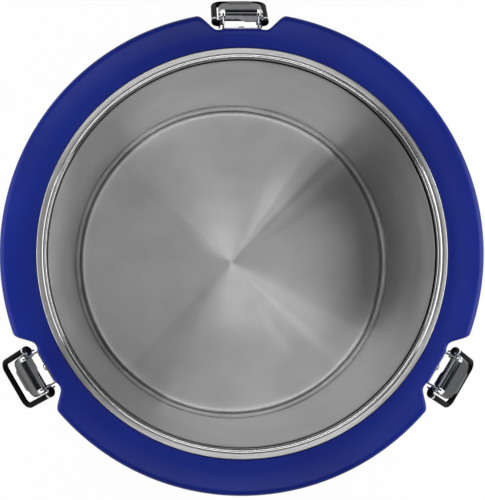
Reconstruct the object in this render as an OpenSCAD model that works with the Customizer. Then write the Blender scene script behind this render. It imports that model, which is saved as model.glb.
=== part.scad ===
// Insulated food container: moulded shell, foam core, steel liner and three over-centre latches.
// Millimetres, +Z up. The origin is the middle of the flat base, and +Y points at the rear latch.

/* [Shell] */
// Outside diameter of the rim band
body_d = 363; // [354:1:400]
// Height of the shell's rim above the base
shell_h = 278; // [255:1:340]
// Thickness of the moulded wall
wall = 4.5; // [3.5:0.1:5.5]
// Outside diameter of the foot
foot_d = 342; // [334:1:350]
// Rounding between the base and the side
foot_round = 14; // [8:1:20]
// Height of the rim band
band_h = 36; // [24:1:48]
// Step from the side wall out to the rim band
band_step = 4; // [2:0.5:5]
// Rounding of the rim band's top edge
rim_round = 6; // [3:0.5:9]

/* [Liner] */
// Inside diameter of the liner's mouth
mouth_d = 290.8; // [270:0.2:294]
// Inside diameter of the liner just above its floor fillet
floor_d = 288.6; // [268:0.2:292]
// Depth from the top of the rim bead to the floor
liner_depth = 236; // [180:1:242]
// Thickness of the steel sheet
liner_sheet = 0.8; // [0.6:0.1:1.5]
// Inside radius between the floor and the wall
floor_fillet = 9.3; // [6:0.1:16]
// Radius of the rolled bead round the mouth
bead_r = 2; // [1.5:0.1:3]
// How far the bead stands above the flange
bead_rise = 0.8; // [0.4:0.1:1.2]
// Width of the flange outside the bead
flange_w = 3.8; // [3.4:0.1:6]
// How far the flange stands above the shell's rim
flange_rise = 1.2; // [0.5:0.1:2]
// Depth of the flange's turned-down edge
flange_lip = 3; // [2:0.1:5]

/* [Base plug] */
// Diameter of the foam filling hole
plug_d = 32; // [20:1:50]
// Distance from the middle of the base to the filling hole
plug_offset = 90; // [60:1:110]
// Thickness of the plug's flange
plug_flange_t = 1.3; // [1:0.1:2]

/* [Latch pockets] */
// Radial depth of a pocket under the rim band
pocket_depth = 13; // [10.5:0.5:14.5]
// Width of a pocket's floor
pocket_w = 40; // [36:0.2:50]
// Height of a pocket below the rim
pocket_h = 92; // [88:1:120]
// Rounding of a pocket's upright outer corners
pocket_round = 3.5; // [1:0.5:5]

/* [Hand grips] */
// Width of a hand grip at its back
grip_w = 76; // [60:1:84]
// Height of a hand grip at its back
grip_h = 24; // [18:1:40]
// Radial depth of a hand grip in the side wall
grip_depth = 15; // [10:0.5:17]

/* [Latch bracket] */
// Width over the bracket's ears
plate_w = 28; // [24:0.5:29]
// Height of the bracket's plate
plate_h = 50; // [46:1:56]
// Thickness of the bracket's plate
plate_t = 1.5; // [1:0.1:2]
// Thickness of each ear
ear_t = 1.2; // [1:0.1:1.6]
// Half height of the ears at the plate
ear_root = 7; // [5.5:0.5:7]
// Radius of the ears' round ends
ear_r = 4.2; // [3.6:0.1:4.4]
// Distance of the lever's pin below the rim
pin_drop = 22; // [20:0.5:26]
// Distance of the lever's pin from the plate's face
pin_reach = 9.9; // [9.6:0.1:12]
// Diameter of the lever's pin
pin_d = 4; // [3:0.1:4.4]
// Diameter of the rivets' shanks
rivet_d = 4; // [3:0.1:4.5]
// Height of the rivets' domed heads
rivet_dome = 2.2; // [1.2:0.1:2.6]
// Thickness of the backing plate in the foam
backing_t = 2; // [1.5:0.1:3]

/* [Lever] */
// Width over the lever's flanges
lever_w = 31; // [30.4:0.1:33]
// Thickness of the lever's sheet
lever_sheet = 1.2; // [0.8:0.1:1.3]
// Distance from the pin to the outside of the lever's face
lever_face = 6; // [5.9:0.1:7.5]
// Length of the face below the pin
lever_len = 27; // [24:0.5:30]
// Length of the finger lip
lip_len = 4; // [3:0.5:6]
// How far the finger lip stands out
lip_flare = 1.3; // [0.5:0.1:4]
// Width of the finger lip
lip_w = 19; // [12:0.5:22]
// Angles by which the rear, left and right lever stand open at rest
lever_open = [22, 18, 26]; // [10:1:30]

/* [Bail] */
// Diameter of the bail's wire
wire_d = 3; // [2.4:0.1:3.4]
// Outside diameter of the black sleeve
sleeve_d = 4.6; // [4:0.1:5]
// Distance from the lever's flange to the middle of a bail arm
arm_gap = 4.3; // [4.2:0.1:6]
// Length from the bail's pivot to the middle of its crossbar
bail_len = 46; // [40:1:48]
// Radius of the bail's outer corners, to the middle of the wire
bail_corner = 6.5; // [4:0.5:9]
// How far the bail's pivot lies behind the lever's pin
bail_back = 5; // [4:0.1:5.4]
// How far the bail's pivot lies below the lever's pin
bail_below = 9; // [8.6:0.1:11]
// Angles at which the rear, left and right bail hang out from straight down
bail_hang = [31, 37, 34]; // [10:1:50]

/* [Fits] */
// Radial clearance of pins, rivets and wire in their holes
pin_fit = 0.05; // [0.02:0.01:0.1]
// Gap left round the foam and the sealing ring
foam_gap = 0.2; // [0.1:0.05:0.4]
// Side clearance between pieces that slide past each other
side_gap = 0.3; // [0.2:0.05:0.4]

/* [Hidden] */
$fn = 96;
arc_steps = 8;
far = 20;
root2 = sqrt(2);

SIDES = ["rear", "left", "right"];
side_turn = [0, 120, 240];
grip_turn = [-90, 90];

// Shell
body_r = body_d / 2;
foot_r = foot_d / 2;
side_r = body_r - band_step;
band_z = shell_h - band_h;
step_z = band_z - band_step;

// Liner, from the rim downwards
mouth_r = mouth_d / 2;
floor_r = floor_d / 2;
flange_z = shell_h + flange_rise;
bead_z = flange_z + bead_rise - bead_r;
floor_z = bead_z + bead_r - liner_depth;
bead_end = 20;
groove_w = 0.7;
groove_drop = 0.6;
bead_out = mouth_r + 2 * bead_r;
flange_in = bead_out + groove_w;
flange_r = bead_out + flange_w;
edge_r = 1;

// Rebate that the flange sits in, and the opening that the liner goes through
rebate_gap = 0.4;
rebate_r = flange_r + rebate_gap;
rebate_z = flange_z - flange_lip - side_gap;
opening_r = bead_out - liner_sheet - side_gap;
seal_in = opening_r + side_gap;
seal_out = flange_r - liner_sheet - rebate_gap;

// Base plug
plug_rim = 4;
plug_recess = foam_gap;
plug_seat = plug_recess + plug_flange_t;

// Latch pockets: a concentric floor and sides at 45 degrees
pocket_r = body_r - pocket_depth;
pocket_corner_y = sqrt(pow(pocket_r, 2) - pow(pocket_w / 2, 2));
pocket_side = pocket_w / 2 - pocket_corner_y;
pocket_in = pocket_r - 2 * wall;
ledge_z = shell_h - pocket_h;

// Hand grips: a flat roof and back, sides and floor at 45 degrees
grip_back = side_r - grip_depth;
grip_roof = step_z - wall;

// Latch bracket on its flat pad
pad_rise = 0.1;
pad_y = pocket_r + pad_rise;
pad_w = plate_w + 2 * side_gap;
pad_in = sqrt(pow(pocket_r - wall, 2) - pow(pad_w / 2, 2)) - foam_gap;
plate_y = pad_y + plate_t;
plate_drop = 8;
plate_top = shell_h - plate_drop;
plate_low = plate_top - plate_h;
pin_y = plate_y + pin_reach;
pin_z = shell_h - pin_drop;
pin_r = pin_d / 2;
pin_head_rim = 1.2;
pin_head_r = pin_r + pin_head_rim;
pin_head_t = 1;
rivet_r = rivet_d / 2;
rivet_head_rim = 1.5;
rivet_head_r = rivet_r + rivet_head_rim;
rivet_tail_rim = 1.2;
rivet_tail_r = rivet_r + rivet_tail_rim;
rivet_tail_t = 1.4;
rivet_margin = 2.5;
rivet_edge = rivet_head_r + rivet_margin;
rivet_spread = 8;
rivet_spots = [
    [0, plate_top - rivet_edge],
    [-rivet_spread, plate_low + rivet_edge],
    [rivet_spread, plate_low + rivet_edge]
];
backing_rim = 2;
backing_h = rivet_spots[0][1] + rivet_tail_r + backing_rim - plate_low;

// Lever, in its shut position with the pin as origin
tab_half = plate_w / 2 - ear_t - 2 * side_gap;
flange_half = lever_w / 2;
shoulder_z = 1.5;
crest_r = 2.5;
crest_rise = 1.5;
crest_z = shoulder_z + crest_rise;
strip_z = crest_z + crest_r;
strip_near = 1;
strip_far = -1.5;
wave_half = 4;
taper_len = 7;
taper_z = lever_len - taper_len;
taper_in = 2.5;
tongue_r = 3;
pin_lobe_rim = 3.2;
bail_lobe_rim = 2.5;
lobe_pin = pin_r + pin_lobe_rim;
lobe_bail = wire_d / 2 + bail_lobe_rim;

// Bail, hanging straight down with its pivot as origin
wire_r = wire_d / 2;
sleeve_r = sleeve_d / 2;
arm_x = flange_half + arm_gap;
turn_inside = 1.5;
turn_r = wire_r + turn_inside;
boot_rim = 0.1;
boot_r = sleeve_r + boot_rim;
boot_tail = 2;
boot_len = turn_r + boot_tail;
ferrule_rim = 0.2;
ferrule_r = sleeve_r + ferrule_rim;
ferrule_len = 2.5;
wire_end = tab_half;
arm_low = bail_len - bail_corner;
bail_y = [for (a = lever_open) pin_y - bail_back * cos(a) + bail_below * sin(a)];
bail_z = [for (a = lever_open) pin_z - bail_back * sin(a) - bail_below * cos(a)];

// Points of an arc about a centre, from one angle to another
function arc(centre, r, from, to) = [
    for (i = [0 : arc_steps])
        let (a = from + (to - from) * i / arc_steps)
            centre + r * [cos(a), sin(a)]
];

// The same points in reverse order with x turned over, to mirror half an outline
function mirrored(points) = [
    for (i = [len(points) - 1 : -1 : 0]) [-points[i][0], points[i][1]]
];

// A (y, z) outline drawn out along X
module along_x(length) {
    rotate([90, 0, 90]) linear_extrude(height = length, center = true) children();
}

// An (x, z) outline drawn out along Y, from y = low to y = high
module along_y(low, high) {
    translate([0, high, 0]) rotate([90, 0, 0]) linear_extrude(height = high - low) children();
}

// A round bar along X at (y, z)
module bar_x(r, length, y = 0, z = 0) {
    translate([0, y, z]) rotate([0, 90, 0]) cylinder(r = r, h = length, center = true);
}

// A child on each side of the latch's middle plane
module both_sides() {
    children();
    mirror([1, 0, 0]) children();
}

// Half section of the shell's outside, from the axis at the base to the rebate
function shell_section() = concat(
    [[0, 0]],
    arc([foot_r - foot_round, foot_round], foot_round, -90, 0),
    [[side_r, step_z], [body_r, band_z]],
    arc([body_r - rim_round, shell_h - rim_round], rim_round, 0, 90),
    [[rebate_r, shell_h], [rebate_r, rebate_z], [opening_r, rebate_z], [0, rebate_z]]
);

// Half section of the space inside the shell, set in by a wall
function cavity_section(inset) = concat(
    [[0, inset]],
    arc([foot_r - foot_round, foot_round], foot_round - inset, -90, 0),
    [
        [side_r - inset, step_z + inset * (root2 - 1)],
        [body_r - inset, band_z + inset * (root2 - 1)],
        [body_r - inset, rebate_z - inset],
        [0, rebate_z - inset]
    ]
);

// Half section of the liner's cup, grown outwards from its inside face, open at the top
function cup_section(grow) = concat(
    [[0, floor_z - grow]],
    arc([floor_r - floor_fillet, floor_z + floor_fillet], floor_fillet + grow, -90, 0),
    [[mouth_r + grow, bead_z], [mouth_r + grow, shell_h + far], [0, shell_h + far]]
);

// Half section of the liner's sheet: the inside face up and over the bead to the
// flange's edge, then back along the outside face
function liner_section() = let (bead = [mouth_r + bead_r, bead_z], t = liner_sheet) concat(
    [[0, floor_z]],
    arc([floor_r - floor_fillet, floor_z + floor_fillet], floor_fillet, -90, 0),
    arc(bead, bead_r, 180, bead_end),
    [[bead_out + groove_w / 2, flange_z - groove_drop], [flange_in, flange_z]],
    arc([flange_r - edge_r, flange_z - edge_r], edge_r, 90, 0),
    [[flange_r, flange_z - flange_lip], [flange_r - t, flange_z - flange_lip]],
    arc([flange_r - edge_r, flange_z - edge_r], edge_r - t, 0, 90),
    [[flange_in, flange_z - t], [bead_out, flange_z - groove_drop - t]],
    arc(bead, bead_r - t, bead_end, 180),
    arc([floor_r - floor_fillet, floor_z + floor_fillet], floor_fillet + t, 0, -90),
    [[0, floor_z - t]]
);

// Right half of a pocket's plan with its outer corner rounded off against the rim band
function pocket_half() =
    let (
        d = pocket_side + pocket_round * root2,
        reach = body_r - pocket_round,
        y = (sqrt(2 * reach * reach - d * d) - d) / 2,
        centre = [y + d, y],
        radial = atan2(y, y + d)
    )
    concat(
        [[pocket_in + pocket_side, pocket_in]],
        arc(centre, pocket_round, 135, radial),
        [centre * (body_r + far) / reach]
    );

// Straight-sided plan of a pocket, grown all round
function pocket_trapezoid(grow) =
    let (c = pocket_side + grow * root2, high = body_r + far)
    [[pocket_in + c, pocket_in], [high + c, high], [-high - c, high], [-pocket_in - c, pocket_in]];

// Cutter of one latch pocket at the rear, grown by a wall where it bounds the foam
module pocket(grow = 0) {
    low = pocket_in;
    high = body_r + far;
    ramp = ledge_z + pocket_r - grow * root2;
    difference() {
        intersection() {
            linear_extrude(height = shell_h + far)
                polygon(grow == 0 ? concat(pocket_half(), mirrored(pocket_half()))
                                  : pocket_trapezoid(grow));
            along_x(2 * body_r)
                polygon([[low, ramp - low], [high, ramp - high], [high, shell_h + far], [low, shell_h + far]]);
        }
        cylinder(r = pocket_r - grow, h = shell_h + 2 * far);
    }
}

// Cutter of one hand grip at the rear, grown by a wall where it bounds the foam
module grip(grow = 0) {
    back = grip_back - grow;
    high = body_r + far;
    ramp = grip_roof - grip_h + grip_back - grow * root2;
    spread = grip_w / 2 - grip_back + grow * root2;
    intersection() {
        linear_extrude(height = shell_h)
            polygon([[back + spread, back], [high + spread, high], [-high - spread, high], [-back - spread, back]]);
        along_x(2 * body_r)
            polygon([[back, ramp - back], [high, ramp - high], [high, grip_roof + grow], [back, grip_roof + grow]]);
    }
}

// The flat pad behind one bracket, from the foam side to the pocket
module pad(grow = 0) {
    depth = pad_y - pad_in;
    translate([-pad_w / 2 - grow, pad_in - grow, plate_low - side_gap - grow])
        cube([pad_w + 2 * grow, depth + grow, plate_h + 2 * side_gap + 2 * grow]);
}

// A child at each latch, and at each hand grip
module at_latches() {
    for (turn = side_turn) rotate([0, 0, turn]) children();
}

module at_grips() {
    for (turn = grip_turn) rotate([0, 0, turn]) children();
}

// Holes along Y for the rivets of one bracket
module rivet_holes() {
    for (spot = rivet_spots)
        translate([spot[0], pad_in - backing_t - far / 2, spot[1]])
            rotate([-90, 0, 0]) cylinder(r = rivet_r + pin_fit, h = far + pocket_depth);
}

module outer_shell() {
    color("#232a82") difference() {
        union() {
            difference() {
                rotate_extrude() polygon(shell_section());
                difference() {
                    rotate_extrude() polygon(cavity_section(wall));
                    at_latches() pocket(wall);
                    at_grips() grip(wall);
                }
                at_latches() pocket();
                at_grips() grip();
                translate([0, 0, rebate_z - 2 * wall]) cylinder(r = opening_r, h = 3 * wall);
            }
            at_latches() pad();
        }
        at_latches() rivet_holes();
        translate([0, -plug_offset, -far]) cylinder(d = plug_d + 2 * pin_fit, h = far + 2 * wall);
        translate([0, -plug_offset, -far])
            cylinder(d = plug_d + 2 * plug_rim + 2 * pin_fit, h = far + plug_seat);
    }
}

module foam_core() {
    color("#e8d9a0") difference() {
        rotate_extrude() difference() {
            polygon(cavity_section(wall + foam_gap));
            polygon(cup_section(liner_sheet + foam_gap));
        }
        at_latches() pocket(wall + foam_gap);
        at_latches() pad(foam_gap);
        at_latches() bracket_recess();
        at_grips() grip(wall + foam_gap);
    }
}

// Room in the foam for one backing plate and the rivets' tails
module bracket_recess() {
    depth = backing_t + rivet_tail_t + foam_gap;
    translate([-pad_w / 2 - foam_gap, pad_in - depth, plate_low - side_gap])
        cube([pad_w + 2 * foam_gap, depth, plate_h + 2 * side_gap]);
}

module inner_liner() {
    color("#b9bcc0") rotate_extrude() polygon(liner_section());
}

module rim_seal() {
    top = flange_z - groove_drop - liner_sheet - foam_gap;
    color("#8a8f98") rotate_extrude()
        translate([seal_in, rebate_z]) square([seal_out - seal_in, top - rebate_z]);
}

module foam_plug() {
    color("#1b1f5e") translate([0, -plug_offset, plug_recess]) {
        cylinder(d = plug_d + 2 * plug_rim, h = plug_flange_t);
        cylinder(d = plug_d, h = wall - plug_recess);
    }
}

// Latch pieces, drawn at the rear latch

module latch_plate() {
    color("#c8cacd") difference() {
        union() {
            translate([-plate_w / 2, pad_y, plate_low]) cube([plate_w, plate_t, plate_h]);
            both_sides() translate([(plate_w - ear_t) / 2, 0, 0]) along_x(ear_t) ear();
        }
        bar_x(pin_r + pin_fit, 2 * lever_w, pin_y, pin_z);
        rivet_holes();
    }
}

// Side view of one ear
module ear() {
    neck = pin_y - ear_r;
    polygon([
        [pad_y, pin_z - ear_root], [neck, pin_z - ear_r], [pin_y, pin_z - ear_r],
        [pin_y, pin_z + ear_r], [neck, pin_z + ear_r], [pad_y, pin_z + ear_root]
    ]);
    translate([pin_y, pin_z]) circle(r = ear_r);
}

module latch_rivets() {
    grip_len = plate_y - pad_in + backing_t;
    ball_r = (pow(rivet_head_r, 2) + pow(rivet_dome, 2)) / (2 * rivet_dome);
    color("#d4d6d8") for (spot = rivet_spots)
        translate([spot[0], plate_y, spot[1]]) rotate([-90, 0, 0]) {
            translate([0, 0, -grip_len]) cylinder(r = rivet_r, h = grip_len);
            translate([0, 0, -grip_len - rivet_tail_t]) cylinder(r = rivet_tail_r, h = rivet_tail_t);
            intersection() {
                translate([0, 0, rivet_dome - ball_r]) sphere(r = ball_r);
                cylinder(r = rivet_head_r, h = rivet_dome);
            }
        }
}

module latch_backing() {
    color("#8d9196") difference() {
        translate([-plate_w / 2, pad_in - backing_t, plate_low]) cube([plate_w, backing_t, backing_h]);
        rivet_holes();
    }
}

module latch_pin() {
    inner = flange_half + side_gap / 2;
    color("#dadcde") {
        bar_x(pin_r, 2 * inner, pin_y, pin_z);
        both_sides() translate([inner + pin_head_t / 2, 0, 0])
            bar_x(pin_head_r, pin_head_t, pin_y, pin_z);
    }
}

module latch_lever(i) {
    color("#c2c5c9") translate([0, pin_y, pin_z]) rotate([lever_open[i], 0, 0]) difference() {
        union() {
            lever_front();
            lever_crest();
            both_sides() translate([flange_half - lever_sheet / 2, 0, 0])
                along_x(lever_sheet) lever_flange();
        }
        bar_x(pin_r + pin_fit, 2 * lever_w);
        bar_x(wire_r + pin_fit, 2 * lever_w, -bail_back, -bail_below);
    }
}

// The lever's face and its flared finger lip
module lever_front() {
    inside = lever_face - lever_sheet;
    low = -lever_len - lip_len;
    half = concat(
        [[tab_half, crest_z], [tab_half, shoulder_z], [flange_half, shoulder_z], [flange_half, -taper_z]],
        [[flange_half - taper_in, -lever_len]],
        arc([lip_w / 2 - tongue_r, low + tongue_r], tongue_r, 0, -90)
    );
    intersection() {
        along_x(lever_w) polygon([
            [inside, crest_z], [lever_face, crest_z], [lever_face, -lever_len],
            [lever_face + lip_flare, low], [inside + lip_flare, low], [inside, -lever_len]
        ]);
        along_y(0, lever_face + far) polygon(concat(half, mirrored(half)));
    }
}

// The bend over the top of the face, and the strip behind it with its stepped edge
module lever_crest() {
    start = lever_face - crest_r;
    middle = (strip_near + strip_far) / 2;
    swing = (strip_near - strip_far) / 2;
    wave = [
        for (i = [0 : arc_steps])
            let (x = wave_half * (1 - 2 * i / arc_steps))
                [x, middle - swing * sin(90 * x / wave_half)]
    ];
    along_x(2 * tab_half) translate([start, crest_z]) difference() {
        intersection() {
            circle(r = crest_r);
            square(crest_r);
        }
        circle(r = crest_r - lever_sheet);
    }
    translate([0, 0, strip_z - lever_sheet]) linear_extrude(height = lever_sheet)
        polygon(concat([[-tab_half, start], [tab_half, start], [tab_half, strip_far]], wave,
                       [[-tab_half, strip_near]]));
}

// Side view of one flange, round the pin and the bail's pivot and along the face
module lever_flange() {
    hull() {
        circle(r = lobe_pin, $fn = 32);
        translate([-bail_back, -bail_below]) circle(r = lobe_bail, $fn = 32);
        translate([lever_face - lever_sheet, -taper_z]) square([lever_sheet, taper_z + shoulder_z]);
    }
}

// A child at one bail's pivot, turned out by its hanging angle
module at_bail(i) {
    translate([0, bail_y[i], bail_z[i]]) rotate([bail_hang[i], 0, 0]) children();
}

// A quarter bend of round bar in the bail's plane: from (r, 0) round to (0, r)
module quarter_bend(bend_r, bar_r) {
    rotate([90, 0, 0]) rotate_extrude(angle = 90) translate([bend_r, 0]) circle(r = bar_r);
}

// The right half of the bail below its pivot: an arm from one distance down, a corner and half the crossbar
module half_loop(r, from) {
    translate([arm_x, 0, -arm_low]) cylinder(r = r, h = arm_low - from);
    translate([arm_x - bail_corner, 0, -arm_low]) mirror([0, 0, 1]) quarter_bend(bail_corner, r);
    translate([0, 0, -bail_len]) rotate([0, 90, 0]) cylinder(r = r, h = arm_x - bail_corner);
}

// The in-turned end of the bail: a bend at the top of the arm and a stub towards the lever
module half_turn_in(r, inner) {
    translate([arm_x - turn_r, 0, -turn_r]) quarter_bend(turn_r, r);
    translate([inner, 0, 0]) rotate([0, 90, 0]) cylinder(r = r, h = arm_x - turn_r - inner);
}

module bail_wire(i) {
    color("#b4b7bb") at_bail(i) both_sides() {
        half_loop(wire_r, turn_r);
        half_turn_in(wire_r, wire_end);
    }
}

module bail_sleeve(i) {
    start = boot_len + ferrule_len;
    color("#16161a") at_bail(i) difference() {
        both_sides() half_loop(sleeve_r, start);
        both_sides() half_loop(wire_r + pin_fit, turn_r);
    }
}

module bail_ferrules(i) {
    color("#d0d2d4") at_bail(i) both_sides()
        translate([arm_x, 0, -boot_len - ferrule_len]) difference() {
            cylinder(r = ferrule_r, h = ferrule_len);
            translate([0, 0, -ferrule_len]) cylinder(r = wire_r + pin_fit, h = 3 * ferrule_len);
        }
}

module bail_boots(i) {
    inner = flange_half + side_gap;
    color("#16161a") at_bail(i) both_sides() difference() {
        union() {
            half_turn_in(boot_r, inner);
            translate([arm_x, 0, -boot_len]) cylinder(r = boot_r, h = boot_len - turn_r);
        }
        half_turn_in(wire_r + pin_fit, 0);
        translate([arm_x, 0, -2 * boot_len]) cylinder(r = wire_r + pin_fit, h = 2 * boot_len - turn_r);
    }
}

outer_shell();
foam_core();
inner_liner();
rim_seal();
foam_plug();
for (i = [0 : len(SIDES) - 1]) rotate([0, 0, side_turn[i]]) {
    latch_plate();
    latch_rivets();
    latch_backing();
    latch_pin();
    latch_lever(i);
    bail_wire(i);
    bail_sleeve(i);
    bail_ferrules(i);
    bail_boots(i);
}
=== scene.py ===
import math

import bmesh
import bpy
import numpy as np
from mathutils import Matrix


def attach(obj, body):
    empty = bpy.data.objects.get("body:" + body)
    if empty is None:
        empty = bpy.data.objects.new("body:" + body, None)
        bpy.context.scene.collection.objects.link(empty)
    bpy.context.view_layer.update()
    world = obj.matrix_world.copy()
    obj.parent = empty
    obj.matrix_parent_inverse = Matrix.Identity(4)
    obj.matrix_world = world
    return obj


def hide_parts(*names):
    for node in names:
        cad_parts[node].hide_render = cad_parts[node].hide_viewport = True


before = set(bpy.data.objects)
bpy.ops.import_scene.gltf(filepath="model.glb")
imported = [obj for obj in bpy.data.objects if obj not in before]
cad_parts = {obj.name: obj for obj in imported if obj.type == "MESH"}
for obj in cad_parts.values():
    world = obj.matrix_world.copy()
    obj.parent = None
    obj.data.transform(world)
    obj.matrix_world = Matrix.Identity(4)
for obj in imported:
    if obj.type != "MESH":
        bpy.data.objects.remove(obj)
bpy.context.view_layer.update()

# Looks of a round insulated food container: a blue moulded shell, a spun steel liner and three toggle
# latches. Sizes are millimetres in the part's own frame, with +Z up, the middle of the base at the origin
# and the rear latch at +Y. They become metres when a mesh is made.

MM = 0.001

# Shell: radii, heights and roundings
BODY_R, SIDE_R, FOOT_R = 181.5, 177.5, 171.0
FOOT_ROUND, STEP_ROUND, BAND_ROUND = 14.0, 5.0, 3.0
RIM_Z, BAND_Z, STEP_Z, WALL = 278.0, 242.0, 238.0, 4.5
RIM_ROUND, NOTCH_RIM_ROUND = 6.0, 4.0
CROWN_DROP, CROWN_START, CROWN_WIDTH = 1.6, 160.0, 21.5
DISH_DROP, DISH_START, DISH_WIDTH = 1.2, 166.0, 12.0
REBATE_R, REBATE_Z, REBATE_ROUND, OPENING_R = 153.6, 275.9, 0.8, 148.9
POCKET_R, POCKET_HALF, POCKET_LEDGE = 168.5, 20.0, 186.0
POCKET_BLEND, CORNER_BLEND = 4.0, 3.0
PAD_Y, PAD_HALF, PAD_LOW, PAD_TOP, PAD_BLEND = 168.6, 14.3, 219.7, 270.3, 0.6
GRIP_BACK, GRIP_HALF, GRIP_ROOF, GRIP_H, GRIP_BLEND = 162.5, 38.0, 233.5, 24.0, 5.0
POCKET_TURNS, GRIP_TURNS = (90, 210, 330), (0, 180)
ROOF_LEAD, ROOF_RISE, ROOF_REACH = 0.6, 2.4, 1.3
PLUG_Y, PLUG_R, PLUG_RIM_R, PLUG_SEAT = -90.0, 16.05, 20.05, 1.5
PLUG_INSET, PLUG_GAP, PLUG_EDGE, PLUG_STEP_EDGE, PLUG_TOP_EDGE = 0.2, 0.05, 0.4, 0.1, 0.3
BORE_EDGE = ((0.0, 0.4), (0.1, 0.1), (0.5, 0.0))

# Least values of a divisor, below which a cut's face no longer meets the wall
SPREAD_MIN, COSINE_MIN = 0.3, 0.5

# Columns of the shell's grid in degrees, closer across the pockets and at the grips' ends, and its rows up
# the outside and down the inside, closer at the pockets' ledges, the grips' roofs and the step
COLUMNS = np.arange(0, 360, 1.25)
POCKET_COLUMNS, GRIP_COLUMNS = np.arange(-14, 14.01, 0.25), np.arange(12, 20, 0.5)
OUTER_ROWS = np.concatenate([
    np.linspace(20, 170, 13), np.linspace(174, 200, 27), np.linspace(202, 230, 11),
    np.arange(231.5, 236.6, 0.4), np.linspace(237, 247, 16), np.linspace(249, 270, 11)])
INNER_ROWS = np.array([260, 244, 239, 235, 233, 222, 206, 192, 184, 176, 160, 110, 60, 20.0])

# Liner
MOUTH_R, FLOOR_R, FLOOR_Z, FLOOR_FILLET, SHEET = 145.4, 144.3, 44.0, 9.3, 0.8
BEAD_R, BEAD_Z, BEAD_END = 2.0, 278.0, 20.0
NECK_LOW, NECK_TOP, NECK_DEPTH, NECK_EDGE = 269.5, 276.0, 0.45, 0.5
GROOVE_W, GROOVE_DROP, GROOVE_ROUND = 0.7, 0.35, 0.25
GROOVE_BACK, GROOVE_UP, GROOVE_OUT, GROOVE_OUT_ROUND, GROOVE_END = 0.1, 0.7, 0.4, 0.5, 1.0
FLANGE_R, FLANGE_Z, FLANGE_LIP, FLANGE_EDGE = 153.2, 279.2, 3.0, 1.0

# Latches: the turn of each about Z from the rear, how far its lever stands open, and how far its bail hangs
# out from straight down, in degrees
LATCHES = {"rear": (0.0, 22.0, 31.0), "left": (120.0, 18.0, 37.0), "right": (240.0, 26.0, 34.0)}
PIN_Y, PIN_Z, PIN_R, PIN_HEAD_R, PIN_HEAD_T = 180.0, 256.0, 2.0, 3.2, 1.0
PIN_PLAY, PIN_HEAD_EDGE, PIN_HEAD_FOOT, PIN_FILLET = 0.15, 0.7, 0.15, 0.1
PLATE_HALF, PLATE_T, PLATE_LOW, PLATE_TOP, PLATE_ROUND = 14.0, 1.5, 220.0, 270.0, 1.5
EAR_T, EAR_ROOT, EAR_R = 1.2, 7.0, 4.2
PLATE_EDGE, EAR_EDGE, EAR_SUNK = 0.3, 0.25, 0.2
RIVET_R, RIVET_HEAD_R, RIVET_DOME, RIVET_TAIL_R, RIVET_TAIL = 2.0, 3.5, 2.2, 3.2, 7.6
RIVET_TAIL_H, RIVET_UNDER = 1.4, 0.02
RIVETS = ((0.0, 264.0), (-8.0, 226.0), (8.0, 226.0))
LEVER_HALF, LEVER_SHEET, LEVER_FACE = 15.5, 1.2, 6.0
LEVER_BEND, SHOULDER_Z, TAB_HALF = 1.8, 1.5, 12.2
TAPER_Z, LEVER_LOW, TAPER_HALF = -20.0, -27.0, 13.0
LIP_LOW, LIP_HALF, LIP_ROUND, LIP_FLARE = -31.0, 9.5, 3.0, 1.3
LIP_LEAD, LIP_BLEND, FLARE_LEAD, FLARE_POWER = 0.5, 2.0, 1.0, 1.5
LEVER_EDGE, LEVER_EDGE_STEPS, LEVER_EDGE_ANGLE, LEVER_MERGE = 0.25, 3, 50.0, 0.01
FACE_COLS = np.array([0, 1, 2, 3, 4, 6, 8, 10, TAB_HALF])
TAPER_ROW, LIP_ROW = 0.7, 0.3
CREST_Z, CREST_R, STRIP_NEAR, STRIP_FAR, WAVE_HALF = 3.0, 2.5, 1.0, -1.5, 4.0
LOBE_PIN, LOBE_BAIL = 5.2, 4.0
BAIL_BACK, BAIL_BELOW = 5.0, 9.0
WIRE_R, SLEEVE_R, ARM_X, BAIL_LEN, BAIL_CORNER = 1.5, 2.3, 19.8, 46.0, 6.5
TURN_R, WIRE_END = 3.0, 12.2
BOOT_R, BOOT_IN, BOOT_LEN = 2.5, 15.8, 5.0
FERRULE_R, FERRULE_LEN = 2.5, 2.5
WIRE_EDGE, SLEEVE_EDGE, BOOT_EDGE, FERRULE_EDGE = 0.3, 0.4, 0.7, 0.4

# Rise under which a line along the lever's flange counts as level, and the slack at the ends of such a line
LEVEL, SLACK = 1e-9, 1e-6


# Shapes

def smooth_min(a, b, blend):
    """The lesser of two values, with a parabola over the corner where they are within blend of each other."""
    near = np.clip(blend - np.abs(a - b), 0, None) / blend
    return np.minimum(a, b) - near * near * blend / 4


def smooth_max(a, b, blend):
    """The greater of two values, rounded off in the same way."""
    return -smooth_min(-a, -b, blend)


def smooth_step(x):
    """0 below 0, 1 above 1, and the cubic 3x^2 - 2x^3 between."""
    x = np.clip(x, 0, 1)
    return x * x * (3 - 2 * x)


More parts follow.
